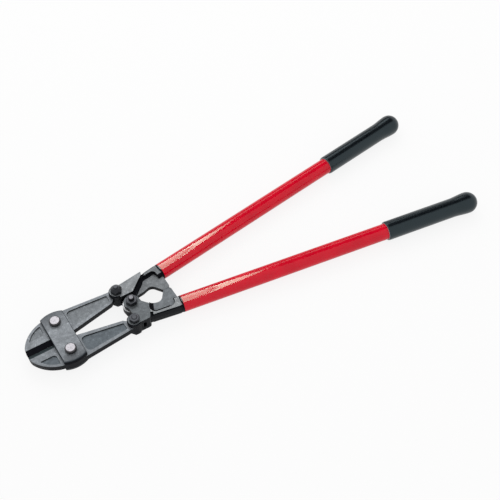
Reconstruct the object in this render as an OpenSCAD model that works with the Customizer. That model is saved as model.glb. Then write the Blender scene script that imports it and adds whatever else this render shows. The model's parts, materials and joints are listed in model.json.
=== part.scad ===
// Heavy-duty bolt cutters: forged jaws held by clasp plates, a toggle linkage
// of two forged handle irons, tubular handles and moulded grips.
// Drawn closed and lying flat: +X runs from the jaws to the grips, +Z is up.

/* [Jaws] */
// Thickness of each forged jaw
jaw_t = 9; // [7:0.5:11]
// Radius of the nose's blunt front, that the two jaws form together
nose_front_r = 18; // [14:0.5:20]
// Radius of the nose's flanks behind it
nose_side_r = 50; // [44:0.5:60]
// Width of the bevel that sharpens each cutting edge
bevel_w = 7.2; // [5:0.1:9]
// Length of the cutting edge
edge_len = 37.8; // [30:0.2:42]
// Flat left along each cutting edge
edge_land = 0.5; // [0.2:0.1:1]
// Depth of the forged recesses in the jaw faces
recess_d = 1.6; // [0.5:0.1:2.5]
// Radius of the outer edge of the nose recess
recess_r = 33.4; // [30:0.2:34]
// Width of the rim around the arm recess
arm_rim = 4.2; // [3:0.2:6]
// Distance from one jaw's outer back edge to the centre line, at the clasp
arm_out_y = 41.2; // [39:0.1:42]
// Radius of the round tang at the back of each jaw
tang_r = 10.3; // [10:0.1:12]

/* [Clasp] */
// Distance from the nose to the clasp bolts
clasp_x = 52; // [49:0.2:55]
// Distance from the centre line to each clasp bolt
clasp_y = 24.8; // [22:0.2:27]
// Width of the clasp plates, along the tool
clasp_w = 32.2; // [28:0.2:36]
// Length of the clasp plates, across the tool
clasp_len = 86.8; // [80:0.4:92]
// Thickness of each clasp plate
clasp_t = 6; // [4:0.5:8]
// Radius of the rounded clasp ends
clasp_end_r = 37; // [30:0.5:44]
// Width of the rounded border at each clasp end
clasp_slope = 3; // [2:0.25:4]
// Drop of that rounded border
clasp_drop = 2.2; // [1:0.1:3]
// Radius of the clasp bolt shanks
clasp_bolt_r = 6; // [4.5:0.25:7]
// Radius of the round clasp bolt heads
clasp_head_r = 7.8; // [7.5:0.1:9.5]
// Height of the round clasp bolt heads
clasp_head_h = 4.9; // [3:0.1:6]
// Height of the clasp nuts
clasp_nut_h = 4.6; // [3:0.1:4.6]

/* [Toggle linkage] */
// Distance from a clasp bolt to the link bolt behind it, along the tool
arm_len = 92.1; // [86:0.5:98]
// Distance from the centre line to each link bolt
link_y = 27.3; // [26.5:0.1:29]
// Distance from the link bolts to the centre bolt, along the tool
toggle_x = 10.4; // [9:0.2:12]
// Radius of the ears around the link bolts
link_ear_r = 10.3; // [10:0.1:11.5]
// Radius of the ears around the centre bolt
centre_ear_r = 11.2; // [10.5:0.1:12.6]
// Radius of the tongue between the centre ears
tongue_r = 13.2; // [12:0.1:13.4]
// Radius of the fork slot that clears a jaw tang
tang_slot_r = 15.8; // [14:0.1:16.4]
// Radius of the fork slot that clears the tongue
tongue_slot_r = 15.3; // [15.2:0.1:15.6]
// Thickness of each fork ear
ear_t = 6.2; // [5:0.2:8]
// Radius of the link and centre bolt shanks
link_bolt_r = 5; // [4:0.25:5.5]
// Outer radius of the eccentric bush in each jaw tang
bush_r = 7.6; // [7:0.1:8]
// Offset between the bush's two circles, which sets the jaw gap
bush_throw = 0.5; // [0.2:0.1:0.8]
// Width across the flats of the link and centre hardware
flats = 14.6; // [13:0.2:16]
// Height of the bolt heads under the tool
head_h = 5; // [4:0.25:5]
// Height of the link and centre nuts
nut_h = 5; // [4:0.25:7]

/* [Handle irons] */
// Thickness of the web of each iron
web_t = 6.6; // [5:0.2:8]
// Height of the flange along the outer edge of each iron
flange_h = 18; // [14:0.5:20]
// Distance from the tube's axis to the outer face of the flange, at the tube
flange_out = 9.2; // [8.6:0.1:10]
// Angle that the outer face makes with the tube's axis
flange_flare = 2; // [0:0.25:2.5]
// Distance from the tube's axis to the inner top edge of the flange
flange_in = 3.8; // [3:0.1:4.5]
// Reach of the concave fillet between the fork's end wall and the web
wall_reach = 6.3; // [4:0.1:7]
// Reach of the concave fillet between the flange and the web
flange_reach = 3.6; // [2:0.1:3.8]
// The same on the lower iron
lower_flange_reach = 6.2; // [2:0.1:6.4]
// Distance from the centre bolt to the end face of each iron, along the tool
iron_len = 60; // [57:0.5:64]
// Distance from the centre line to the tube's axis, at that end face
seam_y = 31.9; // [31:0.1:33]
// Length of the collar that the tube butts against
collar_len = 8.8; // [6:0.2:10]
// Length of the round neck between the collar and the tube
neck_len = 2.2; // [1:0.1:3]
// Length of the spigot inside the tube
spigot_len = 48; // [30:1:70]

/* [Handles] */
// Angle between each handle and the centre line, when closed
handle_angle = 8.1; // [7.6:0.1:8.6]
// Outer radius of the handle tubes
tube_r = 12; // [11:0.25:13]
// Wall thickness of the handle tubes
tube_wall = 2.5; // [1.5:0.25:3.5]
// Length of tube between its iron and its grip
tube_bare = 318; // [200:1:460]
// Length of the grip, from its mouth to the middle of its bulb
grip_len = 138; // [110:1:160]
// Radius of the grip along its straight part
grip_r = 14.2; // [13.6:0.1:15]
// Radius of the bulb at the end of the grip
bulb_r = 16; // [15.4:0.1:16]
// Length of the flare that leads to the bulb
flare_len = 27; // [20:1:36]
// Depth of grip material beyond the end of the tube
grip_end = 8; // [4:1:12]

/* [Clearances] */
// Gap between faces that slide on each other
slide_gap = 0.3; // [0.2:0.05:0.5]
// Radial clearance of the running and bolted fits
fit_gap = 0.05; // [0.02:0.01:0.1]
// Half of the gap between the closed cutting edges, and between the stops
closed_gap = 0.15; // [0.1:0.05:0.25]
// Radial clearance of the tongue's hole, which the opened linkage needs
tongue_gap = 1.7; // [1.6:0.05:2]

/* [Hidden] */
$fn = 96;

// Overlap that makes a cut pass right through a face
cut = 1;
// Chamfer on the edges of nuts and bolt heads
nut_chamfer = 0.9;
// Chamfer along the long edges of the clasp plates
clasp_edge = 0.7;
// Height above the centre line at which the nose's front curve starts
nose_rise = 5;
// Direction of the nose's outline where its front curve meets its flank
nose_turn = 62;
// Distance from the centre line to the middle of a clasp end's curve
clasp_end_y = clasp_len / 2 - clasp_end_r;
// Length of clasp bolt that stands out of its nut
bolt_proud = 0.6;
// Number of straight steps in a rounded corner of an outline
corner_steps = 8;
// Number of straight steps down a concave wall
wall_steps = 7;

// Heights above the middle plane
clasp_low = jaw_t / 2 + slide_gap;
clasp_top = clasp_low + clasp_t;
ear_low = jaw_t / 2 + slide_gap;
ear_top = ear_low + ear_t;

// Joint centres, from the nose
clasp_pin = [clasp_x, clasp_y];
link_pin = [clasp_x + arm_len, link_y];
centre_pin = [link_pin.x + toggle_x, 0];
seam = [centre_pin.x + iron_len, seam_y];

// The whole tool lies flat on its bulbs and bolt heads
bulb_at = tube_bare + grip_len;
overall_len = seam.x + bulb_at * cos(handle_angle) + bulb_r;
clasp_bolt_end = clasp_top + clasp_nut_h + bolt_proud;
floor_z = max(bulb_r, ear_top + head_h, clasp_bolt_end);

// ---- helpers ----------------------------------------------------------

// Moves a piece drawn from the nose, at the middle plane, to its place
module placed(lower = false) {
    translate([-overall_len / 2, 0, floor_z]) mirror([0, lower ? 1 : 0, 0]) children();
}

// Puts a piece drawn along +X onto the upper handle's axis, from the seam on
module on_handle() {
    translate([seam.x, seam.y, 0]) rotate([0, 0, handle_angle]) children();
}

// Repeats a piece on the underside
module both_sides() {
    children();
    mirror([0, 0, 1]) children();
}

// Fills an outline to a thickness, half above and half below the middle plane
module plate(t) {
    translate([0, 0, -t / 2]) linear_extrude(t) children();
}

// Turns a profile of [radius, height] points about the X axis
module turned_x() {
    rotate([0, 90, 0]) rotate_extrude() children();
}

function turn_2d(v, a) = [v.x * cos(a) - v.y * sin(a), v.x * sin(a) + v.y * cos(a)];

// Corner p between a and b, rounded to radius r
function corner_arc(a, p, b, r) =
    let (
        u = (a - p) / norm(a - p),
        v = (b - p) / norm(b - p),
        half = acos(u * v) / 2,
        centre = p + (u + v) / norm(u + v) * r / sin(half),
        start = p + u * r / tan(half) - centre,
        sweep = (cross(u, v) > 0 ? -1 : 1) * (180 - 2 * half)
    )
    [for (i = [0:corner_steps]) centre + turn_2d(start, sweep * i / corner_steps)];

// Outline through [x, y, radius] points, each corner rounded to its radius
function rounded(path) =
    let (n = len(path), p = [for (q = path) [q.x, q.y]])
    [
        for (i = [0:n - 1])
            each path[i][2] == 0
                ? [p[i]]
                : corner_arc(p[(i + n - 1) % n], p[i], p[(i + 1) % n], path[i][2])
    ];

// Moves [x, y, radius] points by an offset
function shifted(path, by) = [for (q = path) [q.x + by.x, q.y + by.y, q[2]]];

// ---- jaws -------------------------------------------------------------

// Where the jaw's inner edge leaves the clasp, and how far it then stands off
arm_start = clasp_x + clasp_w / 2 + 2;
arm_in_y = 4.5;
// Back end of the arm's straight edges, in front of the fork ears
arm_end = link_pin.x - 12.8;
// Outer and inner edge of the arm at that end
arm_end_out = link_y + tang_r - 1.7;
arm_end_in = link_y - tang_r - 0.3;

// Points of an arc whose outline runs in direction a at its start, b at its end
function outline_arc(centre, r, a, b, steps) = [
    for (i = [0:steps])
        let (d = a + (b - a) * i / steps)
        centre + r * [-sin(d), cos(d)]
];

// Outline points given no rounding
function sharp(points) = [for (p = points) [p.x, p.y, 0]];

// Nose: a blunt front curve that flows into a flatter flank
nose_centre = [nose_front_r, nose_rise];
flank_centre = nose_centre + (nose_side_r - nose_front_r) * [sin(nose_turn), -cos(nose_turn)];
flank_end = asin((flank_centre.x - clasp_x + clasp_w / 2) / nose_side_r);
// Shoulder under the clasp, nearly flush with the clasp's round end
shoulder_r = clasp_end_r - 0.4;
shoulder_start = asin(clasp_w / 2 / shoulder_r);

module jaw_outline() {
    polygon(rounded(concat(
        [
            [0, closed_gap, 0],
            [clasp_x - 6, closed_gap, 0],
            [arm_start, arm_in_y, 0],
            [arm_end, arm_end_in, 0],
            [link_pin.x, link_pin.y, 0],
            [arm_end, arm_end_out, 0],
            [arm_start, arm_out_y, 4]
        ],
        sharp(outline_arc([clasp_x, clasp_end_y], shoulder_r, -14, shoulder_start, 14)),
        sharp(outline_arc(flank_centre, nose_side_r, flank_end, nose_turn - 3, 16)),
        sharp(outline_arc(nose_centre, nose_front_r, nose_turn, 90, 10))
    )));
    translate(link_pin) circle(tang_r);
    // Square heel that fills the outer half of the tang
    polygon(rounded(shifted([
        [-tang_r - 2, 0, 0], [tang_r, 0, 0], [tang_r, tang_r - 1.9, 3], [-tang_r - 2, tang_r - 1.9, 0]
    ], link_pin)));
}

// Sharpening cut over the length of the cutting edge, on one face
module bevel_cut() {
    translate([-cut, 0, 0]) rotate([90, 0, 90]) linear_extrude(edge_len + cut) polygon([
        [-cut, edge_land / 2],
        [closed_gap, edge_land / 2],
        [bevel_w, jaw_t / 2],
        [bevel_w, jaw_t],
        [-cut, jaw_t]
    ]);
}

// Rounded triangle sunk into the nose
module nose_recess() {
    // Gap between the recess and the clasp, and its distance from the bevel
    back = clasp_x - clasp_w / 2 - 3.6;
    base = bevel_w + 10.6;
    intersection() {
        translate([recess_r + 5.8, 1]) circle(recess_r);
        polygon(rounded([
            [0, base, 0], [back, base, 5], [back, clasp_len, 0], [0, clasp_len, 0]
        ]));
    }
}

// Long panel sunk into the arm, its edges parallel to the arm's own
module arm_recess() {
    front = arm_start + arm_rim * 0.2;
    polygon(rounded([
        [front, arm_in_y + arm_rim + 1.4, 6],
        [arm_end - 0.6, arm_end_in + arm_rim, 1.5],
        [arm_end - 0.6, arm_end_out - arm_rim, 1.5],
        [front, arm_out_y - arm_rim - 0.7, 6]
    ]));
}

module jaw(lower) {
    color([0.42, 0.44, 0.46]) placed(lower) difference() {
        plate(jaw_t) jaw_outline();
        both_sides() {
            bevel_cut();
            translate([0, 0, jaw_t / 2 - recess_d]) linear_extrude(jaw_t) {
                nose_recess();
                arm_recess();
            }
        }
        translate(clasp_pin) cylinder(r = clasp_bolt_r + fit_gap, h = jaw_t * 2, center = true);
        translate(link_pin) cylinder(r = bush_r + fit_gap, h = jaw_t * 2, center = true);
    }
}

// ---- clasp ------------------------------------------------------------

// Bar with chamfered long edges, seen along Y
module clasp_bar() {
    half = clasp_w / 2;
    translate([clasp_x, clasp_len, 0]) rotate([90, 0, 0]) linear_extrude(clasp_len) polygon([
        [-half, clasp_low],
        [half, clasp_low],
        [half, clasp_top - clasp_edge],
        [half - clasp_edge, clasp_top],
        [-half + clasp_edge, clasp_top],
        [-half, clasp_top - clasp_edge]
    ]);
}

// Round end with its rounded border
module clasp_end() {
    translate([clasp_x, clasp_end_y, 0]) rotate_extrude() polygon([
        [0, clasp_low],
        [clasp_end_r, clasp_low],
        [clasp_end_r - clasp_slope * 0.27, clasp_top - clasp_drop],
        [clasp_end_r - clasp_slope * 0.45, clasp_top - clasp_drop * 0.4],
        [clasp_end_r - clasp_slope * 0.7, clasp_top - clasp_drop * 0.1],
        [clasp_end_r - clasp_slope, clasp_top],
        [0, clasp_top]
    ]);
}

module clasp(bottom) {
    color([0.45, 0.46, 0.48]) placed() mirror([0, 0, bottom ? 1 : 0]) difference() {
        union() {
            for (side = [0, 1]) mirror([0, side, 0]) intersection() {
                clasp_bar();
                clasp_end();
            }
        }
        for (side = [-1, 1]) translate([clasp_x, side * clasp_y, clasp_low - cut])
            cylinder(r = clasp_bolt_r + fit_gap, h = clasp_t + 2 * cut);
    }
}

// ---- bolts, nuts and bushes -------------------------------------------

// Hexagon nut or head blank, its corners trimmed by a cone above
module hex_blank(across, h) {
    corner_r = across / 2 / cos(30);
    intersection() {
        cylinder(r = corner_r, h = h, $fn = 6);
        union() {
            cylinder(r = corner_r + cut, h = h - nut_chamfer);
            translate([0, 0, h - nut_chamfer])
                cylinder(r1 = corner_r, r2 = corner_r - 1.7 * nut_chamfer, h = nut_chamfer);
        }
    }
}

// Clasp bolt: round chamfered head above, shank through jaws and plates
module clasp_bolt(lower) {
    head_edge = 1.3;
    color([0.75, 0.75, 0.74]) placed(lower) translate(clasp_pin) {
        rotate_extrude() polygon([
            [0, -clasp_bolt_end],
            [clasp_bolt_r - 1, -clasp_bolt_end],
            [clasp_bolt_r, 1 - clasp_bolt_end],
            [clasp_bolt_r, clasp_top],
            [clasp_head_r, clasp_top],
            [clasp_head_r, clasp_top + clasp_head_h - head_edge],
            [clasp_head_r - 1.5, clasp_top + clasp_head_h],
            [0, clasp_top + clasp_head_h]
        ]);
    }
}

// Hexagon nut under the clasp
module clasp_nut(lower) {
    color([0.18, 0.18, 0.19]) placed(lower) translate([clasp_pin.x, clasp_pin.y, -clasp_top])
        mirror([0, 0, 1]) difference() {
            hex_blank(flats + 3.4, clasp_nut_h);
            translate([0, 0, -cut]) cylinder(r = clasp_bolt_r + fit_gap, h = clasp_nut_h + 2 * cut);
        }
}

// Bolt of the linkage: hexagon head below, threaded end of radius end_r above
module linkage_bolt(top, end_r) {
    translate([0, 0, -ear_top]) {
        mirror([0, 0, 1]) hex_blank(flats, head_h);
        rotate_extrude() polygon([
            [0, -cut],
            [link_bolt_r, -cut],
            [link_bolt_r, 2 * ear_top],
            [end_r, 2 * ear_top],
            [end_r, ear_top + top - 1],
            [end_r - 1, ear_top + top],
            [0, ear_top + top]
        ]);
    }
}

// Plain hexagon nut on a linkage bolt
module linkage_nut(end_r, h, across) {
    translate([0, 0, ear_top]) difference() {
        hex_blank(across, h);
        translate([0, 0, -cut]) cylinder(r = end_r + fit_gap, h = h + 2 * cut);
    }
}

// Radii of the threaded bolt ends, and how far each stands above the ears
thread_r = 4;
upper_thread_r = 3.6;
cone_nut_h = 9;
upper_end_h = cone_nut_h + 2;
lower_end_h = nut_h + 1;
centre_nut_h = nut_h + 2;
centre_end_h = centre_nut_h + 4.5;

module link_bolt(lower) {
    color([0.16, 0.16, 0.17]) placed(lower) translate([link_pin.x + bush_throw, link_pin.y, 0])
        linkage_bolt(ear_top + (lower ? lower_end_h : upper_end_h), lower ? thread_r : upper_thread_r);
}

// Tall nut on the upper link bolt, its corners running up into a cone
module upper_link_nut() {
    collar_r = upper_thread_r + 0.7;
    color([0.16, 0.16, 0.17]) placed() translate([link_pin.x + bush_throw, link_pin.y, ear_top])
        difference() {
            intersection() {
                cylinder(r = flats / 2 / cos(30), h = cone_nut_h, $fn = 6);
                cylinder(r1 = collar_r + cone_nut_h * 0.78, r2 = collar_r, h = cone_nut_h);
            }
            translate([0, 0, -cut])
                cylinder(r = upper_thread_r + fit_gap, h = cone_nut_h + 2 * cut);
        }
}

module lower_link_nut() {
    color([0.16, 0.16, 0.17]) placed(true) translate([link_pin.x + bush_throw, link_pin.y, 0])
        linkage_nut(thread_r, nut_h, flats - 1.6);
}

module centre_bolt() {
    color([0.6, 0.6, 0.6]) placed() translate(centre_pin)
        linkage_bolt(ear_top + centre_end_h, thread_r);
}

module centre_nut() {
    color([0.16, 0.16, 0.17]) placed() translate(centre_pin)
        linkage_nut(thread_r, centre_nut_h, flats);
}

// Eccentric bush: turning it in the tang moves the jaw to set its closing gap
module bush(lower) {
    color([0.7, 0.6, 0.35]) placed(lower) translate(link_pin) difference() {
        cylinder(r = bush_r, h = 2 * ear_low, center = true);
        translate([bush_throw, 0, 0])
            cylinder(r = link_bolt_r + fit_gap, h = 2 * ear_low + 2 * cut, center = true);
    }
}

// ---- handle irons -----------------------------------------------------

// Outline of the web, curving round the finger eye to the stop pad
module web_outline() {
    polygon(rounded(concat(
        shifted([
            [9, 9.6, 0],
            [23.3, 11.4, 20],
            [36.8, 15.8, 9],
            [48, closed_gap, 1.5]
        ], centre_pin),
        [
            [seam.x - 2.6, closed_gap, 2],
            [seam.x - 1, 3, 2],
            [seam.x - 1, seam.y - 4, 0],
            [seam.x - 4, seam.y, 0]
        ],
        shifted([
            [34, 34.4, 0],
            [8, 30, 0]
        ], centre_pin)
    )));
}

// Point a distance along the tube's axis from the seam, and off to its side
function on_axis(along, off) = seam + turn_2d([along, off], handle_angle);

// Unit vector in a direction
function towards(a) = [cos(a), sin(a)];

// Point where the line through a and b meets the line through c and d
function cross_point(a, b, c, d) =
    a + (b - a) * cross(c - a, d - c) / cross(b - a, d - c);

// Section of the concave wall round the web, as shares of its reach and of its
// height: it starts just under the web's face, rises at a slant and ends upright
wall_start = 14;
function wall_share(t) = [
    (sin(t) - sin(wall_start)) / (1 - sin(wall_start)),
    1 - cos(t) / cos(wall_start)
];
wall_section = concat(
    [wall_share(0)],
    [for (i = [0:wall_steps]) wall_share(wall_start + (90 - wall_start) * i / wall_steps)],
    [[1, 1.3]]
);

// Top edge of that wall, as [point, outward direction, reach]: along the fork's
// end wall through a and b, along the flange and down the collar's end
function wall_path(a, b, r, reach) =
    let (
        heading = atan2(b.y - a.y, b.x - a.x),
        out = heading + 90,
        end_r = reach + 2.4,
        inward = -r * towards(out),
        centre = cross_point(
            a + inward, b + inward,
            on_axis(-1, flange_in - r), on_axis(0, flange_in - r)
        ),
        end_centre = on_axis(-collar_len - end_r, flange_in - end_r)
    )
    concat(
        [[a - 12 * towards(heading), out, wall_reach]],
        path_corner(centre, r, out, handle_angle + 90, wall_reach, reach),
        path_corner(end_centre, end_r, handle_angle + 90, handle_angle, reach, 0.4),
        [[on_axis(-collar_len, -24), handle_angle, 0.4]]
    );

// Corner of that path, its direction and its reach changing together
function path_corner(centre, r, from, to, reach_from, reach_to) = [
    for (i = [0:corner_steps])
        let (f = i / corner_steps, out = from + (to - from) * f)
        [centre + r * towards(out), out, reach_from + (reach_to - reach_from) * f]
];

// Space above the web, inside the wall that runs through a and b
module pocket(a, b, r, reach) {
    path = wall_path(a, b, r, reach);
    n = len(path);
    levels = len(wall_section);
    points = [
        for (share = wall_section)
            for (q = path)
                let (flat = q[0] - towards(q[1]) * q[2] * (1 - share[0]))
                [flat.x, flat.y, web_t / 2 + (ear_top - web_t / 2) * share[1]]
    ];
    polyhedron(points, concat(
        [[for (i = [n - 1:-1:0]) i]],
        [
            for (k = [0:levels - 2])
                for (i = [0:n - 1])
                    let (next = (i + 1) % n)
                    each [
                        [k * n + i, k * n + next, (k + 1) * n + next],
                        [k * n + i, (k + 1) * n + next, (k + 1) * n + i]
                    ]
        ],
        [[for (i = [0:n - 1]) (levels - 1) * n + i]]
    ));
}

// Cheek foot, flange and collar, as high as the flange, before the pockets are cut
module raised_part(a, b, tip) {
    heading = atan2(b.y - a.y, b.x - a.x);
    inward = -0.04 * wall_reach * towards(heading + 90);
    start = a - 9 * towards(heading);
    intersection() {
        union() {
            intersection() {
                plate(2 * ear_top) polygon([
                    start + inward,
                    start + inward * 35,
                    on_axis(-collar_len / 2, -2.5),
                    on_axis(-collar_len / 2, tube_r),
                    on_axis(-iron_len / 3, tube_r),
                    tip,
                    b + inward
                ]);
                plate(4 * ear_top) {
                    web_outline();
                    polygon([
                        on_axis(-iron_len + 8, 0), on_axis(0, 0), on_axis(0, tube_r), on_axis(-iron_len + 8, tube_r)
                    ]);
                }
            }
            on_handle() turned_x() polygon([
                [0, -collar_len - 1], [tube_r - 0.6, -collar_len - 1], [tube_r - 0.6, 0], [0, 0]
            ]);
        }
        flange_side(flange_h / 2);
    }
}

// All that lies inside the flange's flared, rounded outer side, up to a height
module flange_side(top) {
    on_handle() translate([0, flange_out, 0]) rotate([0, 0, flange_flare])
        translate([-iron_len - 10, 0, 0]) rotate([90, 0, 90]) linear_extrude(iron_len + 10)
            polygon(rounded([
                [-iron_len, -top, 0],
                [0, -top, 1.8],
                [0.5, 0, 0],
                [0, top, 1.8],
                [-iron_len, top, 0]
            ]));
}

// Groove across the flange's top, beside the cheek's end edge from one point
// to the other
module cheek_groove(from, to) {
    r = 3;
    heading = atan2(to.y - from.y, to.x - from.x);
    place = from - 4 * towards(heading) + 1.8 * towards(heading - 90);
    translate([place.x, place.y, flange_h / 2 + 0.8]) rotate([0, 90, heading])
        cylinder(r = r, h = norm(to - from) + 12);
}

// Round collar that the tube butts against, and the spigot inside the tube
module neck_and_spigot() {
    on_handle() turned_x() polygon([
        [0, -neck_len],
        [tube_r - 1.2, -neck_len],
        [tube_r - 0.2, -neck_len + 0.8],
        [tube_r - 0.2, 0],
        [tube_r - tube_wall - fit_gap, 0],
        [tube_r - tube_wall - fit_gap, spigot_len - 2],
        [tube_r - tube_wall - 2, spigot_len],
        [0, spigot_len]
    ]);
}

// Link ear with a chamfered rim
module link_ear() {
    rim = 1.2;
    translate(link_pin) rotate_extrude() polygon([
        [0, -ear_top],
        [link_ear_r - rim, -ear_top],
        [link_ear_r, rim - ear_top],
        [link_ear_r, ear_top - rim],
        [link_ear_r - rim, ear_top],
        [0, ear_top]
    ]);
}

// Fork of the upper iron: an ear for the link bolt and a long cheek, whose
// back edge slopes down from the tip to the centre bolt
cheek_foot = centre_pin + [9.4, 15.3];
cheek_back = centre_pin + [30.6, 33.8];
cheek_tip = centre_pin + [33.9, 39.6];
// How far each cheek reaches over its end wall, which the pocket then trims
trim = 0.35;
module upper_fork_outline() {
    polygon(rounded([
        [link_pin.x, link_pin.y + 6.4, 0],
        [link_pin.x, link_pin.y - 5, 0],
        [link_pin.x + 1.2, cheek_foot.y, 1],
        [cheek_foot.x + 1.5 * trim, cheek_foot.y, 0],
        [cheek_back.x + trim, cheek_back.y - trim, 5],
        [cheek_tip.x, cheek_tip.y, 0.8]
    ]));
}

// Fork of the lower iron: its cheek carries both the link bolt and the
// centre bolt
heel_top = centre_pin + [18.9, 13.9];
heel_foot = centre_pin + [9.7, 35.4];
module lower_fork_outline() {
    translate(centre_pin) circle(centre_ear_r);
    polygon(rounded([
        [centre_pin.x + 9.6, 2.2, 1.5],
        [centre_pin.x + 16.3, 10.6, 6],
        [heel_top.x + trim, heel_top.y, 1],
        [heel_foot.x + trim, heel_foot.y, 4],
        [link_pin.x + 4, link_pin.y + 8, 0],
        [link_pin.x, link_pin.y, 0],
        [centre_pin.x - 7.5, 16.5, 3],
        [centre_pin.x - 9, 5, 0]
    ]));
}

// Tongue of the upper iron, which turns between the centre ears
module tongue_outline() {
    translate(centre_pin) circle(tongue_r);
    polygon(rounded(shifted([
        [-7, 8.6, 0], [10, 5, 0], [13, 11, 0], [20, 22, 0], [6, 22, 0], [-3, 17, 0]
    ], centre_pin)));
}

// Iron behind its slots: the fork and the raised part with a pocket sunk in
// each face, the web between the pockets, and the collar
module iron_body(a, b, tip, r, reach, groove_from, groove_to) {
    difference() {
        union() {
            plate(2 * ear_top) children();
            difference() {
                raised_part(a, b, tip);
                both_sides() cheek_groove(groove_from, groove_to);
            }
        }
        both_sides() pocket(a, b, r, reach);
    }
    link_ear();
    plate(web_t) web_outline();
    neck_and_spigot();
}

// Slots and holes of one link joint
module link_cuts() {
    translate(link_pin) cylinder(r = tang_slot_r, h = 2 * ear_low, center = true);
    translate([link_pin.x + bush_throw, link_pin.y, 0])
        cylinder(r = link_bolt_r + fit_gap, h = 2 * ear_top + 2 * cut, center = true);
}

module upper_iron() {
    color([0.44, 0.46, 0.47]) placed() difference() {
        union() {
            iron_body(cheek_foot, cheek_back, cheek_tip, 12, flange_reach, cheek_back, cheek_tip)
                upper_fork_outline();
            plate(jaw_t) tongue_outline();
        }
        link_cuts();
        translate(centre_pin) cylinder(r = link_bolt_r + tongue_gap, h = 2 * ear_top, center = true);
    }
}

module lower_iron() {
    color([0.44, 0.46, 0.47]) placed(true) difference() {
        union() {
            iron_body(
                heel_top, heel_foot, heel_foot + [3, 3], 8.5, lower_flange_reach,
                heel_foot + [2.4, -5.6], heel_foot
            )
                lower_fork_outline();
        }
        link_cuts();
        translate(centre_pin) {
            cylinder(r = tongue_slot_r, h = 2 * ear_low, center = true);
            cylinder(r = link_bolt_r + fit_gap, h = 2 * ear_top + 2 * cut, center = true);
        }
        // Opens the thin wedge left between the two slots
        plate(2 * ear_low) polygon(rounded(shifted([
            [-16, 6, 0], [1, 10, 0], [2, 20, 0], [-16, 22, 0]
        ], centre_pin)));
    }
}

// ---- handles ----------------------------------------------------------

module tube(lower) {
    far = tube_bare + grip_len - grip_end;
    color([0.8, 0.12, 0.16]) placed(lower) on_handle() turned_x() polygon([
        [tube_r - tube_wall, 0],
        [tube_r, 0],
        [tube_r, far],
        [tube_r - tube_wall, far]
    ]);
}

// Moulded sleeve with a thin lip at its mouth and a bulb at its end
module grip(lower) {
    mouth = tube_bare;
    bore_r = tube_r + fit_gap;
    lip = 1.2;
    flare_at = bulb_at - flare_len;
    // The flare eases out on a half cosine from the sleeve to the bulb
    steps = 10;
    flare = [
        for (i = [0:steps - 1])
            let (f = i / steps)
            [grip_r + (bulb_r - grip_r) * (1 - cos(180 * f)) / 2, flare_at + flare_len * f]
    ];
    bulb = [for (a = [0:6:90]) [bulb_r * cos(a), bulb_at + bulb_r * sin(a)]];
    color([0.17, 0.2, 0.21]) placed(lower) on_handle() turned_x() polygon(concat(
        [
            [bore_r, bulb_at - grip_end + fit_gap],
            [bore_r, mouth],
            [grip_r - lip, mouth],
            [grip_r - 0.3, mouth + 0.9],
            [grip_r, mouth + 3]
        ],
        flare,
        bulb,
        [[0, bulb_at - grip_end + fit_gap]]
    ));
}

jaw(false);  // upper_jaw
jaw(true);  // lower_jaw
clasp(false);  // top_clasp
clasp(true);  // bottom_clasp
clasp_bolt(false);  // upper_clasp_bolt
clasp_bolt(true);  // lower_clasp_bolt
clasp_nut(false);  // upper_clasp_nut
clasp_nut(true);  // lower_clasp_nut
upper_iron();
lower_iron();
tube(false);  // upper_tube
tube(true);  // lower_tube
grip(false);  // upper_grip
grip(true);  // lower_grip
bush(false);  // upper_bush
bush(true);  // lower_bush
link_bolt(false);  // upper_link_bolt
link_bolt(true);  // lower_link_bolt
upper_link_nut();
lower_link_nut();
centre_bolt();
centre_nut();
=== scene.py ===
import json
import math

import bmesh
import bpy
from mathutils import Matrix, Vector

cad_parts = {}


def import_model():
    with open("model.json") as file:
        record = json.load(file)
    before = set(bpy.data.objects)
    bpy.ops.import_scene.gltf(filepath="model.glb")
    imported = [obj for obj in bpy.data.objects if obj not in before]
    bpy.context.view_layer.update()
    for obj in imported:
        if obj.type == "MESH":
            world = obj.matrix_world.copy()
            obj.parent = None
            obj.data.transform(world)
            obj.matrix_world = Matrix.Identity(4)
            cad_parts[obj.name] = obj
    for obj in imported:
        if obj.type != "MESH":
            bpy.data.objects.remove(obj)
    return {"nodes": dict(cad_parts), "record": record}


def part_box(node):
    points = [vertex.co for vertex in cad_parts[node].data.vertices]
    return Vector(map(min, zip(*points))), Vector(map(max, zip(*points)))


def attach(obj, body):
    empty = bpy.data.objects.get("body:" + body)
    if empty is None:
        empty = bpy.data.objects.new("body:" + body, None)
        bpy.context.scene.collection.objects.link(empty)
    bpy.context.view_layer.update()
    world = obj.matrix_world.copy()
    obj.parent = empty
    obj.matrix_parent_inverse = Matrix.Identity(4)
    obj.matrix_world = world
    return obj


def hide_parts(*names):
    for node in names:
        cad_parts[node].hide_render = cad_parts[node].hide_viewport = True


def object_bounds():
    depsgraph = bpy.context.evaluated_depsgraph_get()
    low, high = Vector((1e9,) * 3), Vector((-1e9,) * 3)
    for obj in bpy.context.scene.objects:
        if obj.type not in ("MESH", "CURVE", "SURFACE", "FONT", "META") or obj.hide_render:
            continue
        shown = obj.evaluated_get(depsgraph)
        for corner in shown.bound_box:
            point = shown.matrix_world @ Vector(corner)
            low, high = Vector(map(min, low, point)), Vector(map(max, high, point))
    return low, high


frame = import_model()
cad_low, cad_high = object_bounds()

# Bolt cutters on a white ground. Every node but the hidden bushes has a copy with broken
# edges, and roof lights put a two-pane reflection along each enamelled tube.

MM = 0.001

# The tool's middle plane
JAW_LOW, JAW_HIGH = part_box("upper_jaw")
MID_Z = (JAW_LOW.z + JAW_HIGH.z) / 2

# Height, in millimetres, that a forging's tones reach
TONES_TOP = 16
# Half the height of the band on a forging that carries a painted highlight, in millimetres
HIGHLIGHT_BAND_HALF = 0.175
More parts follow.
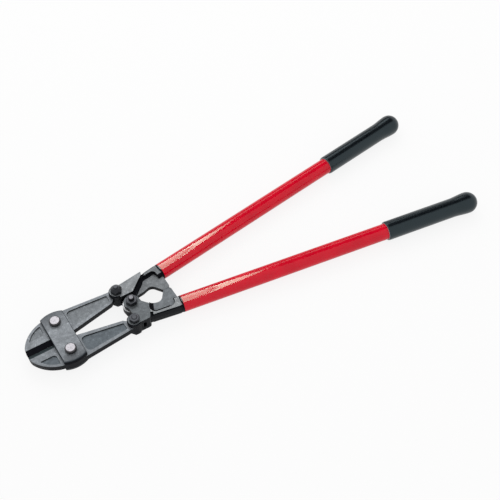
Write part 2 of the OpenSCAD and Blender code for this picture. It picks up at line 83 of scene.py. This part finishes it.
# How far off the tool's centre line, in metres, scale starts and is full on a clasp
ENDS_START, ENDS_FULL = 0.016, 0.046

# Faces that turn by less than this, in degrees, are made one
FLAT_ANGLE = 1.2
# Edges that turn by more than this, in degrees, are broken
EDGE_ANGLE = 28

# Gap under the tool, and half the floor's width, in metres
FLOOR_GAP = 0.0004
FLOOR_REACH = 6.0
# Share of the floor that is plain white where it is seen
FLOOR_GLOW = 0.86
# Strength of the world as light on the object; as it is seen, it is 1
WORLD_LIGHT = 0.85

# The windows: their light, their height above the tool, the x of their west
# side, and their margins past the east and north points of their panes
WINDOW_RADIANCE = 20
WINDOW_COLOUR = (0.5, 1.0, 0.8)
WINDOW_HEIGHT = 0.40
WINDOW_WEST = -0.5
WINDOW_EAST_MARGIN = 0.02
WINDOW_NORTH_MARGIN = 0.25
# Width of the bar between the panes, as a share of the bright pane's length
BAR_WIDTH = 0.12
# Strengths, as shares: the dim pane's, the bright one's at the bar, and its loss by the tip
DIM_PANE = 0.55
BRIGHT_PANE = 1.15
BRIGHT_LOSS = 0.65

# The black card's height above the tool, in metres
FLAG_HEIGHT = 1.5

# The camera: angles in degrees, distance in metres, lens in millimetres
CAMERA_AZIMUTH = -32.11
CAMERA_ELEVATION = 52.15
CAMERA_ROLL = 0.254
CAMERA_DISTANCE = 1.3244
CAMERA_LENS = 66.38
CAMERA_AIM = Vector((0.0021, -0.0017, MID_Z))


# ---- node helpers ---------------------------------------------------------

def srgb(r, g, b):
    """A colour given as it shows on screen, 0 to 255, as a linear one."""
    return tuple(
        c / 255 / 12.92 if c <= 10 else ((c / 255 + 0.055) / 1.055) ** 2.4 for c in (r, g, b)
    )


def scaled(colour, share):
    """A colour made darker or lighter."""
    return tuple(c * share for c in colour)


def new_material(name):
    """An empty node material and its Principled shader."""
    material = bpy.data.materials.new(name)
    material.use_nodes = True
    return material, material.node_tree, material.node_tree.nodes["Principled BSDF"]


def feed(tree, socket, value):
    """Link a socket to another node's output, or give it a plain value."""
    if isinstance(value, bpy.types.NodeSocket):
        tree.links.new(value, socket)
    else:
        socket.default_value = value


def add(tree, kind, **inputs):
    """A node of a kind, with its named sockets fed."""
    node = tree.nodes.new(kind)
    for key, value in inputs.items():
        feed(tree, node.inputs[key.replace("_", " ")], value)
    return node


def math_node(tree, operation, *values):
    """The result of an operation on plain values or outputs."""
    node = tree.nodes.new("ShaderNodeMath")
    node.operation = operation
    for socket, value in zip(node.inputs, values):
        feed(tree, socket, value)
    return node.outputs[0]


def noise(tree, scale, detail, roughness):
    """Fractal noise over the object's own space; scale is in grains a metre."""
    coords = tree.nodes.new("ShaderNodeTexCoord")
    return add(
        tree, "ShaderNodeTexNoise",
        Vector=coords.outputs["Object"], Scale=scale, Detail=detail, Roughness=roughness,
    ).outputs["Fac"]


def coordinate(tree, kind, axis):
    """X, Y or Z of the object's own space, or of a face's direction."""
    coords = tree.nodes.new("ShaderNodeTexCoord")
    parts = add(tree, "ShaderNodeSeparateXYZ", Vector=coords.outputs[kind])
    return parts.outputs[axis]


def remap(tree, value, low, high, to_low, to_high):
    """A value's range from low to high stretched over another, and held at its ends."""
    return add(
        tree, "ShaderNodeMapRange",
        Value=value, From_Min=low, From_Max=high, To_Min=to_low, To_Max=to_high,
    ).outputs["Result"]


def spread(tree, texture, low, high):
    """Noise, which lies mostly from 0.3 to 0.7, stretched over another range."""
    return remap(tree, texture, 0.3, 0.7, low, high)


def blend_colours(tree, factor, first, second, blend="MIX"):
    """The first colour, and as much of the second laid over it as factor says."""
    node = tree.nodes.new("ShaderNodeMix")
    node.data_type = "RGBA"
    node.blend_type = blend
    feed(tree, node.inputs["Factor"], factor)
    # A Mix node's colour sockets are 6 and 7, and its colour output is 2
    for index, value in ((6, first), (7, second)):
        plain = isinstance(value, tuple)
        feed(tree, node.inputs[index], (*value, 1.0) if plain else value)
    return node.outputs[2]


def bump(tree, shader, height, strength, distance):
    """Fine relief over a shader; distance is its depth in metres."""
    relief = add(tree, "ShaderNodeBump", Height=height, Strength=strength, Distance=distance)
    tree.links.new(relief.outputs["Normal"], shader.inputs["Normal"])


def up_facing(tree):
    """How far a face looks straight up or down: 1 when level, 0 when upright."""
    return math_node(tree, "ABSOLUTE", coordinate(tree, "Normal", "Z"))


def height(tree):
    """Distance from the tool's middle plane, in millimetres."""
    off = math_node(tree, "SUBTRACT", coordinate(tree, "Object", "Z"), MID_Z)
    return math_node(tree, "MULTIPLY", math_node(tree, "ABSOLUTE", off), 1 / MM)


def stepped(tree, value, top, steps):
    """A colour for each range of a value up to top; steps are (from, colour), rising."""
    ramp = tree.nodes.new("ShaderNodeValToRGB")
    tree.links.new(math_node(tree, "DIVIDE", value, top), ramp.inputs["Fac"])
    stops = ramp.color_ramp
    stops.interpolation = "CONSTANT"
    while len(stops.elements) > 1:
        stops.elements.remove(stops.elements[-1])
    for index, (start, colour) in enumerate(steps):
        stop = stops.elements[0] if index == 0 else stops.elements.new(start / top)
        stop.position = start / top
        stop.color = (*colour, 1.0)
    return ramp.outputs["Color"]


# ---- materials ------------------------------------------------------------

# Mill scale, and the darker grit in its pores
SCALE = (0.02, 0.022, 0.026)
GRIT = (0.01, 0.01, 0.012)


def forged_steel(name, levels, slope, wall, steep=0.9, ends=0.0, highlight_band=None):
    """Blackened forging whose level faces are grey, each height its own tone: partly rubbed wear,
    partly painted light, while dark tones at some heights are painted shade at the feet of walls.

    Sloped faces and walls are dark, partly their own scale and partly painted shade. steep is the
    up_facing at which the face tone starts, ends is the scale left at the ends of a piece laid
    across the tool, and the last argument is the height, in millimetres, of a band with a painted
    highlight, and the x up to which that highlight shows.
    """
    material, tree, shader = new_material(name)
    grain = noise(tree, 1100, 4, 0.65)
    blotch = noise(tree, 170, 4, 0.6)
    cloud = noise(tree, 38, 2, 0.5)
    scuff = noise(tree, 260, 5, 0.7)
    facing = up_facing(tree)
    face = stepped(tree, height(tree), TONES_TOP, levels)
    # A band at one height carries a painted highlight up to an x; past that x it takes the wall's
    # dark
    if highlight_band:
        band_height, band_end = highlight_band
        level = math_node(tree, "COMPARE", height(tree), band_height, HIGHLIGHT_BAND_HALF)
        past = math_node(tree, "GREATER_THAN", coordinate(tree, "Object", "X"), band_end)
        face = blend_colours(tree, math_node(tree, "MULTIPLY", level, past), face, wall)
    # Face tones, which carry painted light and painted shade, with scale, grit and scuffs as wear
    # over them
    wear_and_lit_faces = blend_colours(tree, remap(tree, blotch, 0.36, 0.64, 0.3, 0), face, SCALE)
    wear_and_lit_faces = blend_colours(tree, remap(tree, cloud, 0.35, 0.65, 0.16, 0), wear_and_lit_faces, SCALE)
    wear_and_lit_faces = blend_colours(tree, remap(tree, grain, 0.35, 0.65, 0.3, 0), wear_and_lit_faces, GRIT)
    wear_and_lit_faces = blend_colours(tree, remap(tree, scuff, 0.56, 0.68, 0, 0.6), wear_and_lit_faces, wear_and_lit_faces, "ADD")
    if ends:
        off = math_node(tree, "ABSOLUTE", coordinate(tree, "Object", "Y"))
        wear_and_lit_faces = blend_colours(tree, remap(tree, off, ENDS_START, ENDS_FULL, 0, ends), wear_and_lit_faces, SCALE)
    # Walls darkest and slopes less so: partly scale, partly painted shade
    side = blend_colours(tree, remap(tree, facing, 0.35, 0.6, 0, 1), wall, slope)
    side = blend_colours(tree, remap(tree, blotch, 0.4, 0.7, 0, 0.3), side, scaled(wall, 2.2))
    # Level faces take the face tones and steeper faces the dark ones: partly rubbed wear, partly
    # painted light and shade
    colour = blend_colours(tree, remap(tree, facing, steep, 0.985, 0, 1), side, wear_and_lit_faces)
    tree.links.new(colour, shader.inputs["Base Color"])
    shader.inputs["Metallic"].default_value = 0.8
    shader.inputs["Specular IOR Level"].default_value = 0.2
    tree.links.new(spread(tree, grain, 0.44, 0.58), shader.inputs["Roughness"])
    bump(tree, shader, grain, 0.45, 0.0003)
    return material


def bright_steel(name, colour):
    """Ground steel, spotted where it has been struck, and painted dark round its edge as shade."""
    material, tree, shader = new_material(name)
    grain = noise(tree, 1500, 3, 0.6)
    spots = noise(tree, 420, 3, 0.6)
    tone = blend_colours(tree, spread(tree, grain, 0, 1), scaled(colour, 0.85), colour)
    tone = blend_colours(tree, remap(tree, spots, 0.34, 0.5, 0.5, 0), tone, scaled(colour, 0.45))
    # Faces that are not level get painted shade; level tops keep the steel's tone
    facing = remap(tree, up_facing(tree), 0.8, 0.98, 0, 1)
    tone = blend_colours(tree, facing, scaled(colour, 0.12), tone)
    tree.links.new(tone, shader.inputs["Base Color"])
    shader.inputs["Metallic"].default_value = 0.9
    tree.links.new(spread(tree, grain, 0.28, 0.42), shader.inputs["Roughness"])
    bump(tree, shader, grain, 0.15, 0.0001)
    return material


def black_oxide(name, top):
    """Oiled black oxide, lighter on its level ends, partly as rubbed-through wear and partly as
    painted light.
    """
    material, tree, shader = new_material(name)
    grain = noise(tree, 1200, 3, 0.6)
    tone = blend_colours(tree, spread(tree, grain, 0, 1), scaled(top, 0.7), top)
    # Level ends take the lighter tone and sides the dark one: partly wear, partly painted light
    # and shade
    facing = remap(tree, up_facing(tree), 0.55, 0.95, 0, 1)
    tone = blend_colours(tree, facing, srgb(26, 28, 33), tone)
    tree.links.new(tone, shader.inputs["Base Color"])
    shader.inputs["Metallic"].default_value = 0.6
    tree.links.new(spread(tree, grain, 0.28, 0.42), shader.inputs["Roughness"])
    bump(tree, shader, grain, 0.12, 0.0001)
    return material


def red_enamel():
    """Gloss enamel, its colour and gloss a little uneven as a dipped coat's are."""
    material, tree, shader = new_material("red_enamel")
    cloud = noise(tree, 45, 3, 0.5)
    tone = blend_colours(tree, spread(tree, cloud, 0, 1), srgb(202, 6, 36), srgb(217, 7, 40))
    tree.links.new(tone, shader.inputs["Base Color"])
    tree.links.new(spread(tree, cloud, 0.09, 0.12), shader.inputs["Roughness"])
    shader.inputs["Specular IOR Level"].default_value = 0.28
    return material


def grip_vinyl():
    """Charcoal vinyl with a fine leathery skin, cut pale at its mouth."""
    material, tree, shader = new_material("grip_vinyl")
    skin = noise(tree, 1400, 3, 0.6)
    cloud = noise(tree, 50, 2, 0.5)
    tone = blend_colours(tree, spread(tree, cloud, 0, 1), srgb(2, 4, 9), srgb(6, 9, 15))
    mouth = remap(tree, coordinate(tree, "Normal", "X"), -0.95, -0.8, 1, 0)
    tone = blend_colours(tree, mouth, tone, srgb(150, 156, 158))
    tree.links.new(tone, shader.inputs["Base Color"])
    tree.links.new(spread(tree, skin, 0.22, 0.3), shader.inputs["Roughness"])
    shader.inputs["Specular IOR Level"].default_value = 0.56
    shader.inputs["Specular Tint"].default_value = (0.7, 0.92, 1.0, 1.0)
    bump(tree, shader, skin, 0.12, 0.0001)
    return material


# ---- pieces ---------------------------------------------------------------

def body_of_node(node):
    """The body that the record gives a node."""
    bodies = frame["record"]["behaviour"]["bodies"]
    return next(body for body, members in bodies.items() if node in members)


def dressed(node, material, bevel_mm):
    """A copy of a CAD node, its edges broken as a forging's or a machined piece's are."""
    mesh = frame["nodes"][node].data.copy()
    mesh.materials.clear()
    mesh.materials.append(material)
    form = bmesh.new()
    form.from_mesh(mesh)
    bmesh.ops.remove_doubles(form, verts=form.verts, dist=1e-6)
    bmesh.ops.dissolve_limit(
        form, angle_limit=math.radians(FLAT_ANGLE), verts=form.verts, edges=form.edges
    )
    for face in form.faces:
        face.smooth = True
    form.to_mesh(mesh)
    form.free()
    piece = bpy.data.objects.new(f"{node}_dressed", mesh)
    bpy.context.scene.collection.objects.link(piece)
    rounding = piece.modifiers.new("rounding", "BEVEL")
    rounding.width = bevel_mm * MM
    rounding.segments = 3
    rounding.limit_method = "ANGLE"
    rounding.angle_limit = math.radians(EDGE_ANGLE)
    shading = piece.modifiers.new("shading", "WEIGHTED_NORMAL")
    shading.weight = 100
    shading.keep_sharp = True
    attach(piece, body_of_node(node))
    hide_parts(node)
    return piece


def finished(node, material):
    """A CAD node that keeps its own mesh and takes a finish."""
    for slot in frame["nodes"][node].material_slots:
        slot.material = material


# ---- stage ----------------------------------------------------------------

def seen_directly(tree):
    """1 for camera, glossy and transmission rays."""
    path = tree.nodes.new("ShaderNodeLightPath")
    seen = math_node(tree, "MAXIMUM", path.outputs["Is Camera Ray"], path.outputs["Is Glossy Ray"])
    return math_node(tree, "MAXIMUM", seen, path.outputs["Is Transmission Ray"])


def level_sheet(name, corners, z, material):
    """A flat sheet through four corners at one height."""
    mesh = bpy.data.meshes.new(name)
    mesh.from_pydata([(x, y, z) for x, y in corners], [], [(0, 1, 2, 3)])
    mesh.materials.append(material)
    piece = bpy.data.objects.new(name, mesh)
    bpy.context.scene.collection.objects.link(piece)
    return piece


def floor():
    """White ground that takes the shadow, and shows mostly plain white where it is seen."""
    material, tree, shader = new_material("floor_white")
    shader.inputs["Base Color"].default_value = (0.86, 0.86, 0.86, 1)
    shader.inputs["Roughness"].default_value = 0.9
    shader.inputs["Specular IOR Level"].default_value = 0.0
    glow = add(tree, "ShaderNodeEmission", Color=(1, 1, 1, 1), Strength=1.0)
    share = math_node(tree, "MULTIPLY", seen_directly(tree), FLOOR_GLOW)
    mix = add(tree, "ShaderNodeMixShader", Fac=share)
    tree.links.new(shader.outputs[0], mix.inputs[1])
    tree.links.new(glow.outputs[0], mix.inputs[2])
    tree.links.new(mix.outputs[0], tree.nodes["Material Output"].inputs["Surface"])
    half = FLOOR_REACH
    corners = ((-half, -half), (half, -half), (half, half), (-half, half))
    sheet = level_sheet("floor", corners, cad_low.z - FLOOR_GAP, material)


def world():
    """Plain white surroundings, a little weaker as light than as they are seen."""
    scene_world = bpy.data.worlds.new("studio")
    bpy.context.scene.world = scene_world
    scene_world.use_nodes = True
    tree = scene_world.node_tree
    tree.nodes.clear()
    strength = remap(tree, seen_directly(tree), 0, 1, WORLD_LIGHT, 1.0)
    background = add(tree, "ShaderNodeBackground", Color=(1, 1, 1, 1), Strength=strength)
    output = tree.nodes.new("ShaderNodeOutputWorld")
    tree.links.new(background.outputs[0], output.inputs["Surface"])


def soft_box(name, place, target, width, height, power):
    """A rectangular lamp aimed at a target."""
    data = bpy.data.lights.new(name, "AREA")
    data.shape = "RECTANGLE"
    data.size = width
    data.size_y = height
    data.energy = power
    lamp = bpy.data.objects.new(name, data)
    bpy.context.scene.collection.objects.link(lamp)
    lamp.location = place
    lamp.rotation_mode = "QUATERNION"
    lamp.rotation_quaternion = (Vector(target) - Vector(place)).to_track_quat("-Z", "Y")
    return lamp


def window(name, piece, near, far, tip):
    """A roof light that only one tube's gloss shows: a dim pane as far as a bar from
    near to far, and beyond the bar a brighter pane that narrows to the tip."""
    east = max(near.x, far.x, tip.x) + WINDOW_EAST_MARGIN
    south, north = near.y, far.y + WINDOW_NORTH_MARGIN
    width, depth = east - WINDOW_WEST, north - south
    centre = Vector(((WINDOW_WEST + east) / 2, (south + north) / 2, MID_Z + WINDOW_HEIGHT))
    power = WINDOW_RADIANCE * math.pi * width * depth
    lamp = soft_box(name, centre, (centre.x, centre.y, MID_Z), width, depth, power)
    lamp.data.color = WINDOW_COLOUR
    lamp.visible_diffuse = False
    shown = bpy.data.collections.new(name)
    shown.objects.link(piece)
    lamp.light_linking.receiver_collection = shown

    lamp.data.use_nodes = True
    tree = lamp.data.node_tree
    place = tree.nodes.new("ShaderNodeNewGeometry")
    parts = add(tree, "ShaderNodeSeparateXYZ", Vector=place.outputs["Parametric"])
    # Along is 0 at the bar's far edge and 1 at the tip; across is -1 at near and 1 at far
    middle = (near + far) / 2
    to_tip, to_far = tip - middle, (far - near) / 2
    inverse = Matrix(((to_tip.x, to_far.x), (to_tip.y, to_far.y))).inverted()
    start = inverse @ (Vector((WINDOW_WEST, south)) - middle)
    by_u = inverse @ Vector((width, 0))
    by_v = inverse @ Vector((0, depth))
    along, across = (
        math_node(
            tree, "ADD",
            math_node(tree, "MULTIPLY_ADD", parts.outputs["X"], by_u[k], start[k]),
            math_node(tree, "MULTIPLY", parts.outputs["Y"], by_v[k]),
        )
        for k in (0, 1)
    )
    before = math_node(tree, "LESS_THAN", along, -BAR_WIDTH)
    dim = math_node(tree, "MULTIPLY", before, DIM_PANE)
    reach = math_node(tree, "ADD", along, math_node(tree, "ABSOLUTE", across))
    inside = math_node(
        tree, "MULTIPLY",
        math_node(tree, "LESS_THAN", reach, 1.0), math_node(tree, "GREATER_THAN", along, 0.0),
    )
    fading = math_node(tree, "MULTIPLY_ADD", along, -BRIGHT_LOSS, BRIGHT_PANE)
    strength = math_node(tree, "ADD", dim, math_node(tree, "MULTIPLY", inside, fading))
    tree.links.new(strength, tree.nodes["Emission"].inputs["Strength"])


def flag():
    """A black card over the handles, which only gloss shows."""
    material, _, shader = new_material("flag_black")
    shader.inputs["Base Color"].default_value = (0, 0, 0, 1)
    shader.inputs["Specular IOR Level"].default_value = 0.0
    corners = ((0.42, -0.20), (1.75, -0.20), (2.70, 4.8), (0.90, 4.8))
    card = level_sheet("flag", corners, MID_Z + FLAG_HEIGHT, material)
    card.visible_camera = False
    card.visible_diffuse = False
    card.visible_shadow = False
    card.visible_transmission = False


def camera():
    """The photograph's camera, aimed at the tool's middle plane."""
    a, e = math.radians(CAMERA_AZIMUTH), math.radians(CAMERA_ELEVATION)
    back = Vector((math.sin(a) * math.cos(e), -math.cos(a) * math.cos(e), math.sin(e)))
    data = bpy.data.cameras.new("camera")
    data.lens = CAMERA_LENS
    data.sensor_width = 36.0
    eye = bpy.data.objects.new("camera", data)
    bpy.context.scene.collection.objects.link(eye)
    eye.location = CAMERA_AIM + back * CAMERA_DISTANCE
    roll = Matrix.Rotation(math.radians(CAMERA_ROLL), 4, "Z")
    eye.rotation_mode = "QUATERNION"
    look = (-back).to_track_quat("-Z", "Y").to_matrix().to_4x4() @ roll
    eye.rotation_quaternion = look.to_quaternion()
    bpy.context.scene.camera = eye


# ---- the scene ------------------------------------------------------------

bpy.context.scene.view_settings.view_transform = "Standard"
camera()
world()
floor()
soft_box("key", place=(0.5, 1.3, 1.5), target=(-0.1, 0, 0), width=1.4, height=1.0, power=9)

# Dark tones for walls, and for heights at the feet of walls and round recesses, where they are
# painted shade
BLACK = srgb(12, 14, 19)
DARK = srgb(24, 30, 36)

# Recesses at 2.9 mm and faces at 4.5. The dark tones at the recess walls' heights are painted
# shade, and the two jaws differ as lit and shaded copies of one steel: the upper bevel is painted
# near black as shade, the lower one lighter as lit
jaws = {
    "upper": forged_steel(
        "upper_jaw_forging",
        ((0, DARK), (2.6, srgb(144, 149, 153)), (3.2, DARK), (4.3, srgb(156, 161, 166))),
        srgb(14, 14, 20), BLACK,
    ),
    "lower": forged_steel(
        "lower_jaw_forging",
        ((0, DARK), (2.6, srgb(114, 122, 128)), (3.2, DARK), (4.3, srgb(150, 155, 160))),
        srgb(73, 84, 88), BLACK,
    ),
}
# Webs at 3.3 mm, the upper one's tongue at 4.5, flanges at 9 and forks at 11. The black tones
# between those heights are painted shade at the feet of walls, the near white at the upper tongue
# is a painted highlight, and the two irons differ as lit and shaded copies of one steel
irons = {
    "upper": forged_steel(
        "upper_iron_forging",
        (
            (0, srgb(139, 143, 146)), (3.38, BLACK), (4.3, srgb(250, 251, 252)), (4.65, BLACK),
            (8.9, srgb(137, 141, 144)), (9.1, BLACK), (10.8, srgb(160, 164, 167)),
        ),
        BLACK, BLACK, highlight_band=(4.475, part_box("centre_bolt")[1].x),
    ),
    "lower": forged_steel(
        "lower_iron_forging",
        (
            (0, srgb(130, 135, 139)), (3.38, BLACK), (8.9, srgb(165, 169, 171)), (9.1, BLACK),
            (10.8, srgb(124, 129, 132)),
        ),
        BLACK, BLACK,
    ),
}
# The clasps' walls and sloped ends are dark, partly scale and partly painted shade
clasp_finish = forged_steel(
    "clasp_plate", ((0, srgb(157, 162, 167)),), srgb(70, 76, 82), BLACK, steep=0.8, ends=0.65
)
oxide = black_oxide("black_oxide", srgb(76, 78, 83))
stud = bright_steel("worn_stud", srgb(122, 122, 127))
bright = bright_steel("ground_steel", srgb(184, 181, 186))
enamel = red_enamel()
vinyl = grip_vinyl()

tubes = {}
for side in ("upper", "lower"):
    dressed(f"{side}_jaw", jaws[side], bevel_mm=0.7)
    dressed(f"{side}_iron", irons[side], bevel_mm=0.9)
    dressed(f"{side}_clasp_bolt", bright, bevel_mm=0.3)
    dressed(f"{side}_clasp_nut", oxide, bevel_mm=0.3)
    dressed(f"{side}_link_bolt", oxide, bevel_mm=0.3)
    dressed(f"{side}_link_nut", oxide, bevel_mm=0.4)
    tubes[side] = dressed(f"{side}_tube", enamel, bevel_mm=0.4)
    dressed(f"{side}_grip", vinyl, bevel_mm=0.5)
    finished(f"{side}_bush", bright)
for side in ("top", "bottom"):
    dressed(f"{side}_clasp", clasp_finish, bevel_mm=0.6)
dressed("centre_bolt", stud, bevel_mm=0.3)
dressed("centre_nut", oxide, bevel_mm=0.4)

window(
    "upper_window", tubes["upper"],
    near=Vector((0.060, -0.126)), far=Vector((0.069, 0.781)), tip=Vector((0.160, 0.271)),
)
window(
    "lower_window", tubes["lower"],
    near=Vector((-0.045, -0.232)), far=Vector((0.165, 0.663)), tip=Vector((0.144, 0.136)),
)
flag()
